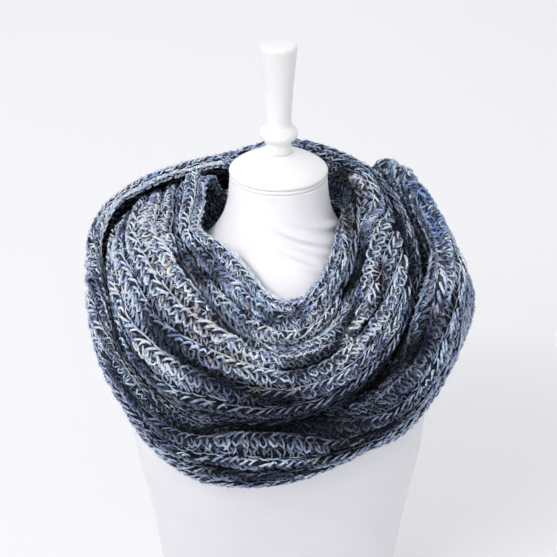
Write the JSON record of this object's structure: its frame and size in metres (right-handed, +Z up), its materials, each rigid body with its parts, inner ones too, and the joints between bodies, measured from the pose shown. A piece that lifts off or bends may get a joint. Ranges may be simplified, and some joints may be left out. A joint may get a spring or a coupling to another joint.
{
  "type": "crocheted neck warmer on a dress form",
  "caption": "Chunky ribbed crochet loop scarf wound round the neck of a white limbless dress form with a turned neck cap and finial.",
  "frame": {"origin": "centre of the dress form's flat underside, on the axis of its neck", "axes": "+Z up along the neck, -Y the front of the form, +X the viewer's right when the front is seen"},
  "size_m": [0.4319, 0.3487, 0.6986],
  "materials": {
    "yarn": "fuzzy variegated blue-grey wool, half double crochet ribs",
    "jersey": "smooth white stretch jersey",
    "painted_wood": "white satin paint on turned wood"
  },
  "bodies": {
    "root": {"collar_fold": "yarn", "front_roll": "yarn", "neck_back": "yarn", "left_drape": "yarn", "lower_front": "yarn", "right_drape": "yarn", "lower_back": "yarn", "form_body": "jersey", "neck_cap": "painted_wood", "finial": "painted_wood"}
  },
  "joints": []
}
